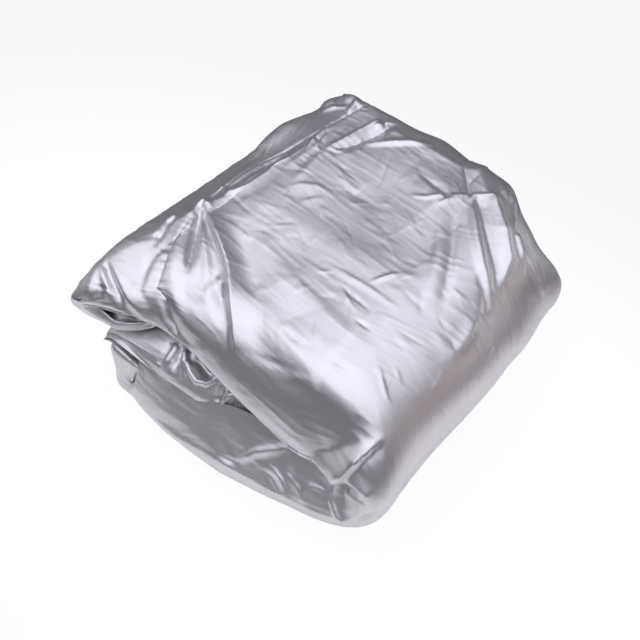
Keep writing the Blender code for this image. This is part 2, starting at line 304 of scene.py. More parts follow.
# the cloth's middle surface: the fold line swept from front to back, with a lip at either side
def surface(u, fraction):
    front = np.interp(u, frontTable[0], frontTable[1][0])
    back = np.interp(u, backTable[0], backTable[1][0])
    rise, even = (np.interp(u, riseTable[0], riseTable[1][k]) for k in (0, 1))
    frontIn, frontTurned, frontWide = lip(frontTable, u, np.clip(fraction + 1.0, 0.0, 1.0), rise, even)
    backIn, backTurned, backWide = lip(backTable, u, np.clip(2.0 - fraction, 0.0, 1.0))
    y = mix(front + frontWide, back - backWide, np.clip(fraction, 0.0, 1.0))
    y = np.where(fraction < 0.0, front + frontIn, np.where(fraction > 1.0, back - backIn, y))
    turned = np.where(fraction < 0.0, frontTurned, np.where(fraction > 1.0, backTurned, 0.0))
    x, z = foldLine(u, y)
    inwardX, inwardZ = inward(u, y)
    return np.stack([x + inwardX * turned, y, z + inwardZ * turned], axis=-1)


# The eye that the photograph was taken from. Creases are laid out as it sees them, in millimetres to the
# right of and below the top left corner of a square frame that lies at the distance it looks to.
eye = {
    "around": 41.0,  # degrees round from the front
    "raised": 46.0,  # and up from level
    "away": 1300.0,
    "aimZ": 65.0,  # the point that it looks to is at this height, at x 0 and y 0
    "aimRight": 320.0,  # where that point lies in the frame
    "aimDown": 313.0,
}
aroundAngle, raisedAngle = np.radians([eye["around"], eye["raised"]])
eyeBack = np.array(
    [
        np.sin(aroundAngle) * np.cos(raisedAngle),
        -np.cos(aroundAngle) * np.cos(raisedAngle),
        np.sin(raisedAngle),
    ]
)
eyeRight = np.array([np.cos(aroundAngle), np.sin(aroundAngle), 0.0])
eyeUp = np.cross(eyeBack, eyeRight)
eyePoint = np.array([0.0, 0.0, eye["aimZ"]]) + eyeBack * eye["away"]


# points to millimetres right and down in the frame: scaled by the distance looked to over their own
def seen(points):
    offset = points - eyePoint
    size = eye["away"] / (-(offset @ eyeBack))
    return eye["aimRight"] + (offset @ eyeRight) * size, eye["aimDown"] - (offset @ eyeUp) * size


# where each group of creases lies along the path, from and to
places = {
    "top": (5.1, 7.5),
    "tip": (6.6, 8.4),
    "base": (3.3, 5.2),
    "middle": (10.05, 11.6),
    "dart": (5.62, 6.4),
    "spine": (4.9, 6.2),
    "flapEnd": (6.2, 8.8),
    "flapMouth": (6.4, 7.5),
    "underMouth": (7.5, 8.6),
    "backRight": (4.8, 7.0),
    "baseEnd": (2.2, 4.3),
}
facingFull = 0.3  # creases fade where the cosine of the cloth's turn from the eye is below this
creaseEnd = 0.06  # how much of the path a crease takes to fade at the ends of its place
nudgeEnd = 0.2  # and a nudge

# The creases and soft folds: name, place, left, right, sharp, points. left and right are how far each
# spreads beside its line, as seen when going along it. sharp is 0 for a soft swell and 1 for a creased
# edge. A point is right, down, and the height there, out of the cloth, or into it if below nought.
creases = [
    # the dart at the front corner
    ("dartValley", "dart", 28, 75, 0.8, [
        (384, 436, 0), (380, 437, -1), (366, 442, -5), (346, 447, -8), (322, 453, -7.5), (302, 461, -3),
    ]),
    ("dartEdge", "dart", 5, 32, 0.8, [
        (385, 437, 0), (381, 440, 2), (366, 453, 8), (356, 462, 10), (346, 473, 9),
    ]),
    ("dartLip", "dart", 18, 8, 0.6, [(305, 465, 2), (320, 470, 7), (336, 474, 6)]),
    # the tent: a pleat that hangs from the left edge of the top
    ("tentRidge", "top", 30, 9, 0.8, [
        (204, 212, 2), (213, 230, 6), (221, 252, 9), (228, 275, 10), (232, 297, 10), (235, 325, 8),
        (235, 352, 1),
    ]),
    ("tentRight", "top", 5, 5, 0.8, [(205, 217, -3), (212, 240, -5), (222, 264, -5), (228, 282, -1)]),
    ("tentLeft", "top", 10, 7, 0.8, [(202, 215, -4), (197, 238, -6), (190, 262, -5), (187, 276, 0)]),
    ("tentApex", "top", 6, 6, 0.4, [(198, 212, 2), (204, 208, 4), (210, 213, 2)]),
    ("tentPleat", "top", 8, 8, 0.2, [(203, 216, 2), (204, 240, 3), (207, 268, 2), (211, 300, 0)]),
    ("tentFlank", "top", 14, 16, 0.2, [(192, 222, 2), (180, 246, 4), (173, 275, 3), (176, 310, 1)]),
    ("tentHollow", "top", 12, 12, 0.4, [(214, 281, -2), (220, 297, -5), (224, 318, -2)]),
    ("tentShade", "top", 60, 30, 0.2, [(250, 215, 2), (268, 248, 5), (280, 285, 4), (292, 318, 0)]),
    ("tentFold", "top", 10, 12, 0.3, [(193, 292, 1), (206, 296, 2), (219, 284, 3)]),
    # the edge along the back left, where the top turns over
    ("leftEdge", "top", 28, 90, 0.5, [
        (108, 264, 2), (122, 254, 4), (150, 243, 7), (172, 231, 9), (204, 214, 10), (222, 205, 10),
        (250, 186, 11), (271, 176, 11), (290, 166, 11), (310, 149, 9), (326, 134, 7), (348, 115, 3),
    ]),
    ("leftLap", "top", 6, 10, 0.8, [
        (223, 192, 1), (233, 200, 2), (250, 195, 2.5), (269, 182, 2), (284, 165, 2), (296, 153, 1),
    ]),
    ("leftLapHollow", "top", 7, 7, 0.3, [
        (215, 203, -1), (240, 188, -2.5), (262, 174, -2.5), (285, 161, -2), (300, 150, -1),
    ]),
    ("leftCreaseLow", "top", 5, 5, 0.6, [(158, 241, -1.5), (139, 244, 0)]),
    ("leftCrease", "top", 6, 6, 0.6, [(172, 226, -2), (162, 240, -3), (151, 254, 0)]),
    ("leftDot", "top", 4, 4, 0.3, [(170, 224, 2), (175, 221, 2)]),
    # beside the seam
    ("seamRayUpper", "top", 5, 7, 0.6, [(160, 262, 1.5), (152, 278, 2), (143, 296, 0)]),
    ("seamRayLower", "top", 5, 6, 0.6, [(165, 258, 1.5), (158, 275, 1.5), (152, 290, 0)]),
    ("seamRayHollow", "top", 7, 7, 0.3, [(150, 266, -1.2), (140, 292, -1)]),
    ("seamHollow", "top", 16, 6, 0.5, [(164, 300, -2), (168, 320, -4), (176, 333, -4), (188, 344, -2)]),
    # the edge along the back right
    ("backEdge", "top", 26, 60, 0.5, [
        (370, 128, 3), (392, 137, 7), (412, 149, 9), (432, 157, 9), (453, 170, 9), (464, 175, 8),
        (478, 176, 8), (486, 195, 7), (497, 208, 8), (514, 240, 7), (528, 271, 5), (545, 294, 2),
    ]),
    ("backFacet", "top", 4, 5, 0.7, [(464, 175, -1.5), (469, 200, -2)]),
    ("backLap", "top", 3, 12, 0.9, [(449, 200, 1), (470, 200, 3), (495, 201, 3)]),
    ("backCrease", "top", 8, 5, 0.6, [(421, 179, -1), (434, 190, -2.5), (447, 200, -1)]),
    ("backStreak", "top", 4, 3, 0.7, [(407, 197, 0), (425, 201, 1.5), (441, 200, 1)]),
    ("backStreakLow", "top", 3, 3, 0.7, [(439, 207, 1), (447, 204, 1.5), (454, 202, 0)]),
    ("backPatch", "top", 6, 6, 0.2, [(503, 188, 2), (508, 200, 2)]),
    ("backPatchLow", "top", 5, 6, 0.5, [(514, 205, 2), (512, 232, 1)]),
    ("backRight", "top", 4, 4, 0.8, [(514, 240, 1.5), (519, 258, 2), (524, 278, 0)]),
    ("rightTipUpper", "top", 3, 3, 0.8, [(537, 277, 0), (540, 288, 1.5), (543, 300, 0)]),
    ("rightTipHollow", "top", 6, 5, 0.4, [(520, 262, -1), (530, 280, -2), (538, 300, 0)]),
    # the pinched fold at the back corner
    ("pinchUpper", "top", 4, 12, 0.8, [(329, 152, 1), (352, 139, 3), (376, 126, 4)]),
    ("pinchLower", "top", 6, 8, 0.7, [(334, 154, -1.5), (352, 148, -3), (380, 137, -3), (395, 129, -1)]),
    ("pinchLens", "top", 7, 4, 0.6, [(362, 147, 1), (395, 149, 3), (430, 151, 1)]),
    ("pinchPuckerA", "top", 3, 3, 0.7, [(317, 149, 1.2), (323, 166, 0)]),
    ("pinchPuckerB", "top", 3, 3, 0.7, [(312, 147, 1), (308, 158, 0)]),
    ("pinchPuckerC", "top", 3, 3, 0.7, [(323, 134, 1.2), (312, 148, 1.4), (305, 160, 0)]),
    ("pinchPuckerD", "top", 3, 3, 0.7, [(326, 141, 1), (320, 150, 1.2)]),
    ("pinchPuckerE", "top", 3, 3, 0.7, [(330, 153, 1.5), (338, 155, 1.2), (345, 153, 0)]),
    ("pinchFan", "top", 6, 6, 0.4, [(317, 152, 1), (300, 166, 1.2), (281, 180, 0)]),
    ("pinchFanLow", "top", 6, 6, 0.4, [(322, 158, 0.8), (305, 178, 1), (288, 192, 0)]),
    ("cornerPeak", "top", 5, 5, 0.5, [(350, 112, 2), (356, 105, 3), (361, 107, 1)]),
    ("cornerRuck", "top", 4, 4, 0.6, [(323, 112, 1), (335, 109, 2), (346, 109, 1)]),
    ("cornerDotA", "top", 4, 4, 0.2, [(377, 131, 2), (381, 131, 2)]),
    ("cornerDotB", "top", 3, 3, 0.2, [(386, 127, 2), (392, 126, 1)]),
    ("cornerBumpA", "top", 10, 10, 0, [(298, 106, 3), (303, 104, 3)]),
    ("cornerBumpB", "top", 9, 9, 0, [(326, 104, 3), (331, 103, 3)]),
    ("cornerBumpC", "top", 10, 10, 0, [(350, 98, 3), (354, 98, 3)]),
    # the long soft folds of the top
    ("backSwell", "top", 46, 60, 0, [(408, 172, 1), (436, 205, 4), (452, 232, 0.5)]),
    ("longRidge", "top", 46, 28, 0.1, [
        (250, 196, 0.5), (280, 214, 1.8), (332, 243, 2.4), (374, 268, 1.8), (416, 298, 0.5),
    ]),
    ("longHollow", "top", 16, 18, 0, [(300, 205, -0.4), (350, 232, -0.7), (388, 252, -0.2)]),
    ("lowRidge", "top", 12, 22, 0.2, [(278, 262, 0.4), (300, 290, 1.2), (330, 316, 1.4), (372, 352, 0.4)]),
    ("frontRidge", "top", 22, 26, 0.2, [(250, 305, 1), (288, 345, 3), (330, 385, 3), (368, 420, 1)]),
    ("waveUpper", "top", 4, 9, 0.7, [(280, 197, 0), (300, 190, 0.9), (317, 190, 1.1), (336, 198, 0)]),
    ("waveLower", "top", 3, 8, 0.7, [(296, 208, 0), (311, 203, 0.8), (328, 200, 0)]),
    ("rightRidge", "top", 9, 8, 0.3, [(470, 205, 1), (476, 240, 3), (484, 275, 3), (487, 300, 1)]),
    ("rightHollow", "top", 9, 8, 0.3, [(478, 207, -2), (487, 236, -4), (495, 269, -3), (497, 290, 0)]),
    ("rightHollowSmall", "top", 5, 6, 0.5, [(485, 211, -1), (495, 240, -2), (499, 267, -1)]),
    ("rightRidgeOuter", "top", 7, 7, 0.4, [(493, 207, 2), (503, 236, 3), (508, 262, 3), (500, 285, 1)]),
    ("softHollow", "top", 8, 10, 0.5, [
        (456, 215, -0.5), (453, 250, -1.8), (447, 287, -1.8), (439, 311, 0),
    ]),
    ("softRidge", "top", 12, 10, 0.1, [(441, 220, 1), (438, 255, 2), (430, 290, 1)]),
    ("facetEdge", "top", 12, 14, 0.7, [
        (477, 318, 1), (470, 334, 3), (462, 346, 3), (454, 354, 2), (440, 342, 1),
    ]),
    ("facetHollow", "top", 6, 7, 0.2, [(482, 277, -2), (487, 306, -2), (480, 320, 0)]),
    # single creases of the top
    ("crease1", "top", 14, 10, 0.8, [(325, 182, 0), (362, 199, -1.2), (396, 216, 0)]),
    ("crease2", "top", 3, 4, 0.9, [(231, 201, -1), (246, 215, -1.2), (256, 223, 0)]),
    ("crease3", "top", 3, 3, 0.9, [(240, 234, 0), (246, 240, 1), (252, 246, 0)]),
    ("crease4", "top", 3, 4, 0.9, [(370, 282, 0), (392, 276, 1), (414, 273, 0)]),
    ("crease5", "top", 3, 3, 0.9, [(392, 281, 0), (406, 277, 0.8), (419, 274, 0)]),
    ("crease6", "top", 3, 4, 0.9, [(424, 292, 0), (421, 303, -1.2), (420, 316, 0)]),
    ("crease7", "top", 3, 4, 0.9, [(449, 287, 0), (459, 294, 1.2), (470, 301, 0)]),
    ("crease8", "top", 3, 4, 0.9, [(495, 333, 0), (491, 346, 1.5), (487, 359, 0)]),
    ("crease9", "top", 4, 4, 0.9, [(445, 373, 0), (438, 383, 1.5), (432, 393, 0)]),
    ("crease10", "top", 3, 3, 0.9, [(432, 400, 0), (440, 408, -1.2), (447, 416, 0)]),
    ("crease11", "top", 3, 4, 0.9, [(378, 361, 0), (382, 380, 1.5), (387, 398, 0.8), (394, 407, 0)]),
    ("crease12", "top", 3, 3, 0.9, [(395, 366, 0), (398, 374, 1), (400, 384, 0)]),
    ("crease13", "top", 6, 6, 0.4, [(389, 335, 0), (405, 342, 1), (422, 350, 0)]),
    ("crease14", "top", 3, 3, 0.9, [(468, 365, 0), (476, 373, -1), (482, 380, 0)]),
    ("crease15", "top", 4, 5, 0.9, [(342, 288, 0), (348, 299, 1.6), (356, 312, 0)]),
    ("crease16", "top", 4, 4, 0.9, [(344, 289, 0), (358, 300, -1.4), (373, 313, 0)]),
    ("crease17", "top", 3, 5, 0.9, [(354, 318, 0), (363, 324, -1.6), (374, 332, 0)]),
    ("crease18", "top", 4, 4, 0.9, [(367, 284, 0), (383, 279, 1.2), (401, 272, 0)]),
    ("crease19", "top", 5, 7, 0.8, [(322, 262, 0), (345, 274, 1), (370, 289, 1.2), (402, 311, 0)]),
    ("crease20", "top", 5, 8, 0.8, [(283, 328, 0), (296, 339, -2), (312, 352, 0)]),
    ("crease21", "top", 4, 6, 0.8, [(325, 360, 0), (338, 369, 1.5), (352, 378, 0)]),
    ("crease22", "top", 4, 7, 0.8, [(252, 352, 0), (272, 362, -1.5), (298, 371, 0)]),
    ("crease23", "top", 5, 5, 0.7, [(277, 379, 0), (298, 378, 1), (320, 384, 0)]),
    ("crease24", "top", 3, 3, 0.9, [(315, 271, 0), (325, 272, 0.8), (335, 271, 0)]),
    # the pointed end at the left
    ("tipRidge", "tip", 7, 8, 0.7, [(103, 266, 1), (104, 277, 3), (109, 288, 3), (111, 301, 1)]),
    ("tipWedge", "tip", 7, 6, 0.3, [(108, 268, -2), (114, 284, -4), (120, 297, -3), (125, 306, 0)]),
    ("tipLong", "tip", 16, 8, 0.6, [
        (110, 262, 1), (119, 280, 3), (129, 298, 4), (142, 314, 3), (156, 326, 1),
    ]),
    ("tipSwell", "tip", 22, 6, 0.3, [(80, 301, 1), (94, 299, 3.5), (105, 297, 1)]),
    ("tipNick", "tip", 4, 4, 0.5, [(103, 289, -1.5), (95, 298, -1)]),
    ("tipOuter", "tip", 8, 8, 0.5, [(79, 300, 0), (90, 290, 2), (97, 272, 2), (98, 262, 0)]),
    ("tipRim", "tip", 5, 5, 0.7, [
        (80, 302, 0), (95, 303, 1.5), (112, 306, 1), (140, 318, 1), (160, 326, 0),
    ]),
    # the middle fold
    ("pleatA", "middle", 4, 4, 0.6, [(176, 346, 3), (168, 360, 5), (162, 372, 1)]),
    ("pleatB", "middle", 4, 4, 0.6, [(182, 347, -4), (177, 360, -6), (174, 370, -1)]),
    ("pleatC", "middle", 5, 4, 0.6, [(188, 346, 4), (184, 362, 6), (182, 376, 1)]),
    ("pleatD", "middle", 4, 4, 0.6, [(170, 345, -2), (160, 362, -2)]),
    ("loopRim", "middle", 4, 4, 0.8, [
        (186, 352, 2), (189, 370, 4), (197, 381, 5), (207, 384, 6), (215, 380, 6), (221, 371, 5),
        (225, 366, 2),
    ]),
    ("loopHollow", "middle", 10, 10, 0.1, [(199, 362, -6), (207, 374, -8), (216, 364, -7)]),
    ("loopRight", "middle", 7, 7, 0.5, [(226, 370, -6), (233, 388, -6)]),
    ("endFold", "middle", 5, 5, 0.7, [(222, 408, 2), (226, 398, 5), (233, 393, 5), (238, 392, 2)]),
    ("endFoldSmall", "middle", 3, 3, 0.7, [(229, 409, 2), (232, 401, 3), (236, 396, 2)]),
    ("endHollow", "middle", 5, 5, 0.3, [(218, 400, -3), (222, 390, -3)]),
    # the bottom fold
    ("baseHollow", "base", 18, 14, 0.1, [(206, 424, 0), (217, 432, -1), (228, 446, -1.5), (234, 456, -1)]),
    ("baseSwell", "base", 12, 10, 0.3, [
        (130, 388, 0.3), (163, 408, 0.6), (190, 428, 0.6), (208, 445, 0.6), (221, 456, 0.3),
    ]),
    ("baseStrip", "base", 5, 5, 0.3, [(160, 428, 0.5), (200, 450, 1), (240, 472, 1), (285, 498, 0.5)]),
    ("baseRidge", "base", 7, 10, 0.7, [
        (233, 464, 1), (246, 456, 3), (258, 451, 4), (274, 449, 3), (288, 447, 1),
    ]),
    ("baseNick", "base", 5, 5, 0.3, [(224, 458, -1), (232, 462, -2), (240, 462, -1)]),
    ("crumpleA", "base", 3, 9, 0.9, [(265, 462, 0), (275, 470, 1.6), (283, 482, 1.6), (289, 503, 0)]),
    ("crumpleB", "base", 8, 3, 0.9, [(262, 468, 0), (272, 480, -1.4), (280, 494, 0)]),
    ("crumpleC", "base", 3, 8, 0.9, [(287, 470, 0), (297, 486, 1.6), (305, 506, 0)]),
    ("crumpleD", "base", 6, 3, 0.9, [(283, 466, 0), (291, 474, -1.4), (296, 490, 0)]),
    ("crumpleE", "base", 3, 7, 0.9, [(314, 482, 0), (306, 492, 1.8), (304, 505, 0)]),
    ("crumpleF", "base", 3, 6, 0.9, [(303, 487, 0), (314, 486, 0.9), (324, 490, 1), (328, 500, 0)]),
    ("baseTipA", "base", 3, 3, 0.7, [(122, 360, 2), (128, 367, 3), (137, 368, 1)]),
    # the end of the big rounded fold at the front corner
    ("endEdge", "spine", 14, 4, 0.8, [(340, 477, 2), (355, 485, 4), (366, 495, 4), (368, 508, 1)]),
    ("endCrease", "spine", 3, 3, 0.7, [(347, 494, 1), (357, 501, 2), (366, 507, 1)]),
    ("endCurve", "spine", 5, 5, 0.4, [(347, 526, -1), (362, 520, -3), (376, 514, -2), (386, 509, 0)]),
    ("endRim", "spine", 5, 3, 0.8, [(335, 483, 1), (331, 502, 1.5), (336, 517, 1.5), (348, 528, 1)]),
]


# Where a whole fold is pushed over: right and down in the frame, how far round that it reaches, and the
# push in x, y and z.
nudges = [
    ("crown", "top", 375, 290, 190, (0, 0, 9)),
    ("rightCrown", "top", 490, 290, 80, (0, 0, 7)),
    ("noseCorner", "flapEnd", 101, 266, 30, (-1, 0, 1)),
    ("tip", "flapEnd", 82, 304, 30, (-8, -7, -4)),
    ("tipPoint", "flapEnd", 79, 300, 14, (-5, -4, 0)),
    ("mouthFloor", "underMouth", 138, 324, 26, (2, 9, -6)),
    ("noseTop", "baseEnd", 121, 362, 15, (-8, -2, 6)),
    ("cornerIn", "baseEnd", 128, 398, 16, (3, 2, 0)),
    ("cornerOut", "baseEnd", 120, 384, 10, (-2, -1, 0)),
    ("noseBack", "flapEnd", 280, 128, 46, (-5, 0, 5)),
    ("upperLip", "flapMouth", 110, 308, 34, (0, 0, -9)),
    ("lowerLip", "underMouth", 92, 320, 34, (-8, 0, -10)),
    ("lowerEnd", "baseEnd", 120, 356, 34, (-6, 0, 24)),
    ("backRightBulge", "backRight", 502, 184, 42, (3, 7, 4)),
    ("backBulge", "backRight", 448, 140, 40, (0, 4, 2)),
    ("shoulder", "backRight", 482, 385, 100, (8, 0, 6)),
    ("rightFoot", "backRight", 528, 345, 40, (4, 0, -1)),
]


# the nudges' push at each point, falling off as a soft bell from its middle
def nudged(points, u, table):
    across, down = seen(points)
    total = np.zeros(points.shape)
    for _, place, right, low, reach, push in table:
        first, last = places[place]
        share = 1.0 - smooth(np.hypot(across - right, down - low) / reach)
        share = share * smooth((u - first) / nudgeEnd) * smooth((last - u) / nudgeEnd)
        total += share[..., None] * np.array(push, float)
    return total


# how far the creases push the cloth out at each point: the nearest stretch of each line gives the height
# and the side; across it the push falls off as a soft bell or as a cusp, and it is round at its ends
def pushed(points, facing, u, table):
    across, down = seen(points)
    total = np.zeros(u.shape)
    for row in table:
        _, place, left, right, sharp, line = row
        first, last = places[place]
        line = np.array(line, float)
        reach = max(left, right)
        low, high = line[:, :2].min(axis=0) - reach, line[:, :2].max(axis=0) + reach
        near = (u > first) & (u < last) & (facing > 0.0)
        near &= (across > low[0]) & (across < high[0]) & (down > low[1]) & (down < high[1])
        if not near.any():
            continue
        x, y = across[near], down[near]
        best = np.full(x.shape, 1e9)
        side, height = np.zeros(x.shape), np.zeros(x.shape)
        for (x0, y0, h0), (x1, y1, h1) in zip(line[:-1], line[1:]):
            run = np.hypot(x1 - x0, y1 - y0)
            wayX, wayY = (x1 - x0) / run, (y1 - y0) / run
            t = np.clip(((x - x0) * wayX + (y - y0) * wayY) / run, 0.0, 1.0)
            awayX, awayY = x - x0 - t * (x1 - x0), y - y0 - t * (y1 - y0)
            far = np.hypot(awayX, awayY)
            closer = far < best
            best = np.where(closer, far, best)
            side = np.where(closer, (awayX * wayY - awayY * wayX) / np.maximum(far, 1e-6), side)
            height = np.where(closer, mix(h0, h1, t), height)
        far = best / mix(right, left, 0.5 + 0.5 * side)
        profile = mix(1.0 - smooth(far), np.clip(1.0 - far, 0.0, 1.0) ** 2, sharp)
        edge = smooth((u[near] - first) / creaseEnd) * smooth((last - u[near]) / creaseEnd)
        total[near] += height * profile * edge * smooth(facing[near] / facingFull)
    return total


# how finely each stretch of the path is cut: place where it starts, steps to the next row
pathSteps = [
    (0.0, 4),
    (1.0, 4),
    (2.0, 14),
    (3.0, 24),
    (4.0, 94),
    (5.0, 90),
    (6.0, 140),
    (7.0, 100),
    (8.0, 60),
    (9.0, 8),
    (10.0, 110),
    (11.0, 24),
    (12.0, 14),
    (13.0, 4),
    (14.0, 4),
    (15.0, 0),
]
# and the cloth across it
widthSteps = {
    "tucked": 32,  # the tucked face of the front lip
    "front": 24,  # the rest of the front lip
    "open": 190,
    "back": 22,  # the back lip
}


# the grid's places along the path and across it: even steps within each stretch
def stations():
    parts = [
        start + (end - start) * np.arange(steps) / steps
        for (start, steps), (end, _) in zip(pathSteps[:-1], pathSteps[1:])
    ]
    path = np.concatenate(parts + [[pathEnd]])
    tuckPart = np.arange(widthSteps["tucked"]) / widthSteps["tucked"] * bundle["lipAt"]
    frontPart = mix(bundle["lipAt"], 1.0, np.arange(widthSteps["front"]) / widthSteps["front"])
    openPart = np.arange(widthSteps["open"] + 1) / widthSteps["open"]
    backPart = np.arange(1, widthSteps["back"] + 1) / widthSteps["back"]
    width = np.concatenate([tuckPart - 1.0, frontPart - 1.0, openPart, backPart + 1.0])
    return path, width


# shears the top sheet along the path, so that one grid line runs down the seam
def toSeam(u, fraction):
    seam = np.interp(fraction, seamTable[0], seamTable[1][0])
    before = mix(seamPlace - 1, seam, u - (seamPlace - 1))
    after = mix(seam, seamPlace + 1, u - seamPlace)
    sheared = np.where(u < seamPlace, before, after)
    return np.where((u > seamPlace - 1) & (u < seamPlace + 1), sheared, u)


# the cross product of the grid's two directions, of unit length
def outwardNormal(points):
    return unit(np.cross(np.gradient(points, axis=1), np.gradient(points, axis=0)))


# the whole cloth on one grid, as folded
path, width = stations()
u, fraction = np.meshgrid(path, width, indexing="ij")
u = toSeam(u, fraction)
cloth = surface(u, fraction)
cloth = cloth + nudged(cloth, u, nudges)
outward = outwardNormal(cloth)
seamRow = int(np.argmin(np.abs(path - seamPlace)))
runAlong = np.linalg.norm(np.diff(cloth, axis=0, prepend=cloth[:1]), axis=-1).cumsum(axis=0)
runAcross = np.linalg.norm(np.diff(cloth, axis=1, prepend=cloth[:, :1]), axis=-1).cumsum(axis=1)
print("cloth folded on", cloth.shape[0], "by", cloth.shape[1])

# The crumple: small creases strewn over the cloth that shows, lengths in millimetres along the cloth.
# Each is a line with a steep side and a wide one.
crumple = {
    "seed": 7,
    "count": 1500,
    "length": (7.0, 30.0),  # half the length of a crease
    "steep": (2.2, 4.5),  # how far its steep side spreads
    "wide": (5.0, 16.0),
    "height": (0.1, 0.55),
    "bend": 0.12,  # how far a crease bows, as a share of its length
    "spread": 0.55,  # how far most of them turn from running along the cloth, in radians
    "anyWay": 0.35,  # share that run in any direction
    "mostlyShort": 2,  # the power that makes most of them short
    "mostlyLow": 2.5,  # and low
    "showing": [(2.4, 8.9), (10.0, 11.8)],  # places along the path that show
    "fadeIn": (2.95, 3.5),  # the hidden cloth before these places stays plain
}
# the long shallow streaks that folding left in it, nearly all along the cloth
streaks = {
    **crumple,
    "seed": 11,
    "count": 190,
    "length": (20.0, 60.0),
    "steep": (5.0, 10.0),
    "wide": (12.0, 30.0),
    "height": (0.12, 0.6),
    "bend": 0.1,
    "spread": 0.4,
    "anyWay": 0.2,
}


# the crumple's push at each point: a cusp on each line that bows and fades towards its ends
def crumpled(along, across, u, facts):
    draw = np.random.default_rng(facts["seed"])
    total = np.zeros(along.shape)
    rowLow, rowHigh = along.min(axis=1), along.max(axis=1)
    columnLow, columnHigh = across.min(axis=0), across.max(axis=0)
    shown = [(u > first) & (u < last) for first, last in facts["showing"]]
    rows, columns = np.nonzero(np.logical_or.reduce(shown))
    for pick in draw.integers(0, len(rows), facts["count"]):
        middle = along[rows[pick], columns[pick]], across[rows[pick], columns[pick]]
        half = mix(*facts["length"], draw.random() ** facts["mostlyShort"])
        steep, wide = draw.uniform(*facts["steep"]), draw.uniform(*facts["wide"])
        height = mix(*facts["height"], draw.random() ** facts["mostlyLow"])
        height = height * draw.choice([-1.0, 1.0])
        turn = draw.normal(0.0, facts["spread"])
        turn = draw.uniform(0.0, np.pi) if draw.random() < facts["anyWay"] else turn
        bow = draw.uniform(-facts["bend"], facts["bend"]) * half
        side = draw.choice([-1.0, 1.0])
        reach = half + wide
        nearRows = np.nonzero((rowHigh > middle[0] - reach) & (rowLow < middle[0] + reach))[0]
        nearColumns = np.nonzero((columnHigh > middle[1] - reach) & (columnLow < middle[1] + reach))[0]
        patch = np.s_[nearRows[0] : nearRows[-1] + 1, nearColumns[0] : nearColumns[-1] + 1]
        x, y = along[patch] - middle[0], across[patch] - middle[1]
        t = np.clip((x * np.cos(turn) + y * np.sin(turn)) / half, -1.0, 1.0)
        off = (y * np.cos(turn) - x * np.sin(turn) - bow * (1.0 - t**2)) * side
        far = np.abs(off) / np.where(off > 0.0, steep, wide)
        total[patch] += height * (1.0 - t**2) * np.clip(1.0 - far, 0.0, 1.0) ** 2
    first, full = facts["fadeIn"]
    return total * smooth((u - first) / (full - first))


# The sewn seam gathers the cloth beside it into puckers, strongest near the front.
pucker = {
    "pitch": 9.5,  # from one pucker to the next
    "height": 0.75,
    "reach": 5.0,  # how far they spread beside the seam
    "wander": 2.2,  # how unevenly they are spaced, in radians of their wave
    "wanderPace": 0.083,  # how fast the spacing changes along the seam
    "wanderLean": 0.05,  # and beside it
    "slant": 0.16,  # how much a pucker leans as it leaves the seam
    "sizeMiddle": 0.5,  # the share of the height that they have on the whole
    "sizeRange": 0.6,  # how far that share swings either way along the seam
    "sizePaces": (0.107, 0.041),  # the two waves that it swings by, in radians for each millimetre
    "groove": 0.7,
    "grooveWide": 1.8,
    "fade": 0.2,  # share of the puckering that is left from the middle of the cloth to its back
}


# puckers: a wave along the seam that dies away beside it, with a groove on the sewing line
def puckered(along, across, fraction, facts):
    beside = along - along[seamRow]
    run = across * 2.0 * np.pi / facts["pitch"]
    wander = np.sin(across * facts["wanderPace"] + facts["wanderLean"] * beside)
    run = run + facts["wander"] * wander + facts["slant"] * np.abs(beside)
    quick, slow = facts["sizePaces"]
    size = facts["sizeRange"] * np.sin(across * quick + 1.0) * np.sin(across * slow)
    size = np.clip(facts["sizeMiddle"] + size, 0.0, 1.0)
    size = size * mix(1.0, facts["fade"], smooth(fraction * 2.0))
    wave = facts["height"] * size * np.cos(run) * np.exp(-np.abs(beside) / facts["reach"])
    return wave - facts["groove"] * np.exp(-((beside / facts["grooveWide"]) ** 2))


push = pushed(cloth, outward @ eyeBack, u, creases)
push += crumpled(runAlong, runAcross, u, crumple)
push += crumpled(runAlong, runAcross, u, streaks)
push += puckered(runAlong, runAcross, fraction, pucker)
cloth = cloth + outward * push[..., None]
print("creases pressed in")


# the four corners of each cell of the grid, in the order that faces outwards
def gridFaces(rows, columns):
    index = np.arange(rows * columns).reshape(rows, columns)
    corners = [index[:-1, :-1], index[:-1, 1:], index[1:, 1:], index[1:, :-1]]
    return np.stack(corners, axis=-1).reshape(-1, 4)


# a mesh from a grid of points, moved to the origin, with its run along and across as the weave's UV map
def clothPiece(name, points, along, across, material):
    rows, columns = points.shape[:2]
    faces = gridFaces(rows, columns)
    mesh = bpy.data.meshes.new(name)
    mesh.vertices.add(rows * columns)
    place = (points + np.array([*bundle["shift"], 0.0])) * mm
    mesh.vertices.foreach_set("co", place.reshape(-1).astype(np.float32))
    mesh.loops.add(faces.size)
    mesh.loops.foreach_set("vertex_index", faces.reshape(-1).astype(np.int32))
    mesh.polygons.add(len(faces))
    mesh.polygons.foreach_set("loop_start", np.arange(0, faces.size, 4, dtype=np.int32))
    mesh.update(calc_edges=True)
    mesh.validate()
    mesh.polygons.foreach_set("use_smooth", np.ones(len(faces), bool))
    uv = mesh.uv_layers.new(name="weave")
    pairs = np.stack([along, across], axis=-1).reshape(-1, 2)[faces.reshape(-1)] * mm
    uv.data.foreach_set("uv", pairs.reshape(-1).astype(np.float32))
    mesh.materials.append(material)
    piece = bpy.data.objects.new(name, mesh)
    bpy.context.scene.collection.objects.link(piece)
    return piece


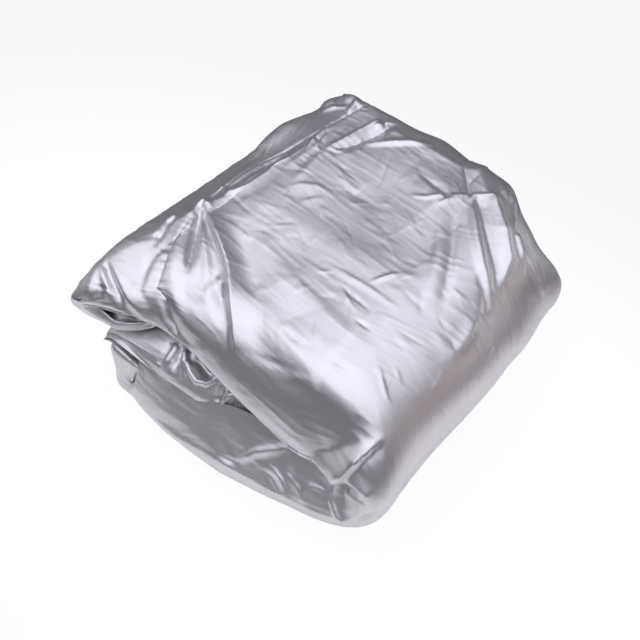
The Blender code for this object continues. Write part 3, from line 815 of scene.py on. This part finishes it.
# a colour written as sRGB hex, made linear
def linear(hexColor, alpha=1.0):
    values = np.array([int(hexColor[k : k + 2], 16) for k in (1, 3, 5)]) / 255.0
    line = np.where(values <= 0.04045, values / 12.92, ((values + 0.055) / 1.055) ** 2.4)
    return (*line.tolist(), alpha)


# adds a node with its settings and links: an input is a value, or a socket of another node
def addNode(tree, kind, settings=None, inputs=None):
    node = tree.nodes.new(kind)
    for name, value in (settings or {}).items():
        setattr(node, name, value)
    for name, value in (inputs or {}).items():
        if isinstance(value, bpy.types.NodeSocket):
            tree.links.new(value, node.inputs[name])
        else:
            node.inputs[name].default_value = value
    return node


# Silver-coated woven polyester taffeta: a thin ribbed plain weave with a metal-flake coating. The coat
# gives broad silky highlights with deep greys between them, and the ribs a fine sparkling grain. Real
# ribs are 0.3 to 0.5 mm apart, finer than a pixel of the picture. Ribs and grain are drawn coarser, but are
# still so fine and shallow that they hardly show at 640 pixels.
bandPitch = 0.314  # how far apart the Wave texture's bands are at a scale of 1, in metres
wrinkleShare = 0.5  # how wide a ridge of the Noise texture is, as a share of its cell
taffeta = {
    "color": "#cac9cd",
    "roughness": 0.42,
    "metallic": 0.9,
    "ribs": 0.0016,  # pitch of the weave's ribs, in metres
    "ribDepth": 0.000015,
    "grain": 0.0011,  # size of the grain in the coat
    "grainDepth": 0.00007,
    "fine": 0.0045,  # width of the finest wrinkles, in metres, and how much longer they are
    "fineStretch": 5.0,
    "fineDepth": 0.0006,
}


# the coat's shader, with three bumps one on another: ribs, grain, and fine wrinkles along the cloth
def silverTaffeta(name):
    material = bpy.data.materials.new(name)
    material.use_nodes = True
    tree = material.node_tree
    shader = tree.nodes["Principled BSDF"]
    shader.inputs["Base Color"].default_value = linear(taffeta["color"])
    shader.inputs["Metallic"].default_value = taffeta["metallic"]
    shader.inputs["Roughness"].default_value = taffeta["roughness"]
    weave = addNode(tree, "ShaderNodeUVMap", {"uv_map": "weave"})
    ribs = addNode(
        tree,
        "ShaderNodeTexWave",
        {"wave_type": "BANDS", "bands_direction": "X"},
        {"Vector": weave.outputs["UV"], "Scale": bandPitch / taffeta["ribs"], "Distortion": 0.0},
    )
    ribBump = addNode(
        tree, "ShaderNodeBump", None, {"Height": ribs.outputs["Fac"], "Distance": taffeta["ribDepth"]}
    )
    grain = addNode(
        tree,
        "ShaderNodeTexNoise",
        None,
        {"Vector": weave.outputs["UV"], "Scale": 1.0 / taffeta["grain"], "Detail": 2.0},
    )
    grainBump = addNode(
        tree,
        "ShaderNodeBump",
        None,
        {
            "Height": grain.outputs["Fac"],
            "Distance": taffeta["grainDepth"],
            "Normal": ribBump.outputs["Normal"],
        },
    )
    stretched = addNode(
        tree, "ShaderNodeMapping", {"vector_type": "TEXTURE"}, {"Vector": weave.outputs["UV"]}
    )
    stretched.inputs["Scale"].default_value = (taffeta["fineStretch"], 1.0, 1.0)
    fine = addNode(
        tree,
        "ShaderNodeTexNoise",
        {"noise_type": "RIDGED_MULTIFRACTAL"},
        {"Vector": stretched.outputs["Vector"], "Scale": wrinkleShare / taffeta["fine"], "Detail": 2.0},
    )
    fineBump = addNode(
        tree,
        "ShaderNodeBump",
        None,
        {
            "Height": fine.outputs["Fac"],
            "Distance": taffeta["fineDepth"],
            "Normal": grainBump.outputs["Normal"],
        },
    )
    tree.links.new(fineBump.outputs["Normal"], shader.inputs["Normal"])
    return material


silver = silverTaffeta("silver-coated woven polyester taffeta")
roofCloth = clothPiece(
    "roofCloth", cloth[: seamRow + 1], runAlong[: seamRow + 1], runAcross[: seamRow + 1], silver
)
sideCloth = clothPiece("sideCloth", cloth[seamRow:], runAlong[seamRow:], runAcross[seamRow:], silver)


for piece, node, rows in (
    (roofCloth, "roof_panel", slice(None, seamRow + 1)),
    (sideCloth, "side_panel", slice(seamRow, None)),
):
    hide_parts(node)
    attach(piece, "root")
print("cloth built")

# Studio: a white lightbox-like floor with a painted pool of light and a painted glow, and soft light. power
# is in watts, size and place in metres.
studio = {
    "floorHalf": 4.0,  # half the width of the paper, in metres
    "floorSeen": "#ffffff",  # the paper as it photographs, blown out to white
    # painted pool of light: the paper's colour is light within the pool and dark beyond it, and the cloth
    # mirrors both
    "paintedPoolLit": "#f0eeec",  # the paper as the cloth mirrors it, in the pool of light
    "paintedPoolDark": "#2c2b2f",  # and beyond it
    "poolAt": (0.02, -0.1, 0.0),  # middle of the pool of light, in metres
    "poolSquash": (0.6, 1.0, 1.0),  # it spreads further to the sides by one over this
    "poolFrom": 0.25,  # how far out it begins to fall off
    "poolTo": 0.52,
    "floorRoughness": 0.9,
    # painted glow: the paper gives off light by itself, though it is no lamp, in the pattern of its painted
    # pool
    "paintedFloorGlow": 0.22,  # how much of its tone it gives off by itself, as a lightbox does
    "shadowShare": 0.06,  # how much of its own shading the seen paper keeps
    "sky": "#f8f8ff",
    "skyTowards": (0.04, -0.07, 1.0),  # where the room is brightest
    "skyFrom": 0.46,  # the room is dim where the cosine to that direction is below this
    "skyTo": 0.77,  # and at its brightest above this
    "skyLow": 0.04,
    "skyHigh": 1.75,
    "lights": {
        # place, width and height, power, colour
        "leftSoftbox": ((-1.55, -0.4, 0.8), (1.2, 1.2), 4.0, "#fffefc"),
        "overheadSoftbox": ((-0.3, -0.3, 1.8), (1.6, 1.4), 0.8, "#f7f6ff"),
        "rightCard": ((1.6, 0.9, 0.4), (1.2, 0.8), 1.6, "#ffe4dc"),
        "backCard": ((0.75, 1.8, 0.15), (1.4, 0.5), 4.0, "#ffffff"),
    },
    "lightsAim": (0.0, 0.0, 0.05),
}


# a flat sheet of paper with a painted pool of light: its colour falls from light to dark round the pool by
# an eased step of the distance from its middle
def studioFloor():
    mesh = bpy.data.meshes.new("floor")
    half = studio["floorHalf"]
    corners = [(-half, -half, 0), (half, -half, 0), (half, half, 0), (-half, half, 0)]
    mesh.from_pydata(corners, [], [(0, 1, 2, 3)])
    material = bpy.data.materials.new("white studio paper with painted pool of light")
    material.use_nodes = True
    tree = material.node_tree
    shader = tree.nodes["Principled BSDF"]
    place = addNode(tree, "ShaderNodeTexCoord")
    squashed = addNode(
        tree, "ShaderNodeVectorMath", {"operation": "MULTIPLY"}, {0: place.outputs["Object"]}
    )
    squashed.inputs[1].default_value = studio["poolSquash"]
    away = addNode(
        tree, "ShaderNodeVectorMath", {"operation": "DISTANCE"}, {0: squashed.outputs["Vector"]}
    )
    away.inputs[1].default_value = studio["poolAt"]
    paintedPoolFalloff = addNode(
        tree,
        "ShaderNodeMapRange",
        {"interpolation_type": "SMOOTHSTEP"},
        {
            "Value": away.outputs["Value"],
            "From Min": studio["poolFrom"],
            "From Max": studio["poolTo"],
        },
    )
    # the painted pool of light, mixed from the light colour in the pool to the dark colour beyond it
    paintedPool = addNode(
        tree,
        "ShaderNodeMix",
        {"data_type": "RGBA"},
        {"Factor": paintedPoolFalloff.outputs["Result"]},
    )
    # on a Mix node for colours, inputs 6 and 7 are its two colours and output 2 is the result
    paintedPool.inputs[6].default_value = linear(studio["paintedPoolLit"])
    paintedPool.inputs[7].default_value = linear(studio["paintedPoolDark"])
    tree.links.new(paintedPool.outputs[2], shader.inputs["Base Color"])
    # painted glow: the painted pool colour also drives the paper's emission, so it gives off light though
    # it is no lamp
    tree.links.new(paintedPool.outputs[2], shader.inputs["Emission Color"])
    shader.inputs["Emission Strength"].default_value = studio["paintedFloorGlow"]
    shader.inputs["Roughness"].default_value = studio["floorRoughness"]
    shader.inputs["Specular IOR Level"].default_value = 0.0
    white = addNode(
        tree, "ShaderNodeEmission", None, {"Color": linear(studio["floorSeen"]), "Strength": 1.0}
    )
    ray = addNode(tree, "ShaderNodeLightPath")
    share = addNode(
        tree,
        "ShaderNodeMath",
        {"operation": "MULTIPLY"},
        {0: ray.outputs["Is Camera Ray"], 1: 1.0 - studio["shadowShare"]},
    )
    paper = addNode(
        tree,
        "ShaderNodeMixShader",
        None,
        {0: share.outputs["Value"], 1: shader.outputs["BSDF"], 2: white.outputs["Emission"]},
    )
    tree.links.new(paper.outputs["Shader"], tree.nodes["Material Output"].inputs["Surface"])
    mesh.materials.append(material)
    floor = bpy.data.objects.new("floor", mesh)
    bpy.context.scene.collection.objects.link(floor)
    return floor


# a rectangular soft light turned to the bundle
def studioLight(name, place, size, power, color):
    light = bpy.data.lights.new(name, "AREA")
    light.shape = "RECTANGLE"
    light.size, light.size_y = size
    light.energy = power
    light.color = linear(color)[:3]
    lamp = bpy.data.objects.new(name, light)
    bpy.context.scene.collection.objects.link(lamp)
    lamp.location = place
    aim(lamp, studio["lightsAim"])
    return lamp


# turns a lamp or camera so that its -Z points at a target
def aim(thing, target):
    place = np.array(thing.location)
    back = unit(place - np.array(target))
    right = unit(np.cross([0.0, 0.0, 1.0], back))
    rows = np.stack([right, np.cross(back, right), back], axis=1)
    thing.rotation_euler = Matrix(rows.tolist()).to_euler()


# the room: dim towards the back and the horizon, brightest towards one direction overhead
def studioSky():
    world = bpy.data.worlds.new("studio")
    bpy.context.scene.world = world
    world.use_nodes = True
    tree = world.node_tree
    way = addNode(tree, "ShaderNodeTexCoord")
    towards = addNode(
        tree, "ShaderNodeVectorMath", {"operation": "DOT_PRODUCT"}, {0: way.outputs["Generated"]}
    )
    towards.inputs[1].default_value = unit(np.array(studio["skyTowards"])).tolist()
    height = addNode(
        tree,
        "ShaderNodeMapRange",
        {"interpolation_type": "SMOOTHSTEP"},
        {
            "Value": towards.outputs["Value"],
            "From Min": studio["skyFrom"],
            "From Max": studio["skyTo"],
            "To Min": studio["skyLow"],
            "To Max": studio["skyHigh"],
        },
    )
    background = tree.nodes["Background"]
    background.inputs["Color"].default_value = linear(studio["sky"])
    tree.links.new(height.outputs["Result"], background.inputs["Strength"])


studioFloor()
for name, facts in studio["lights"].items():
    studioLight(name, *facts)
studioSky()

# the photograph's view: the eye above, with the bundle a little above the middle of the picture
view = {
    "pixels": 640,  # width of the picture
    "focal": 1300.0,  # focal length, in pixels
    "sensor": 36.0,  # width of the sensor, in millimetres
    "above": 7.0,  # how far over the picture's middle the point looked to lies, in pixels
}
cameraData = bpy.data.cameras.new("photoView")
cameraData.sensor_width = view["sensor"]
cameraData.lens = view["focal"] / view["pixels"] * view["sensor"]
cameraData.shift_y = -view["above"] / view["pixels"]
camera = bpy.data.objects.new("photoView", cameraData)
bpy.context.scene.collection.objects.link(camera)
camera.location = (eyePoint + np.array([*bundle["shift"], 0.0])) * mm
aim(camera, (np.array([*bundle["shift"], eye["aimZ"]])) * mm)
bpy.context.scene.camera = camera
bpy.context.scene.view_settings.view_transform = "Standard"
print("studio and camera set")
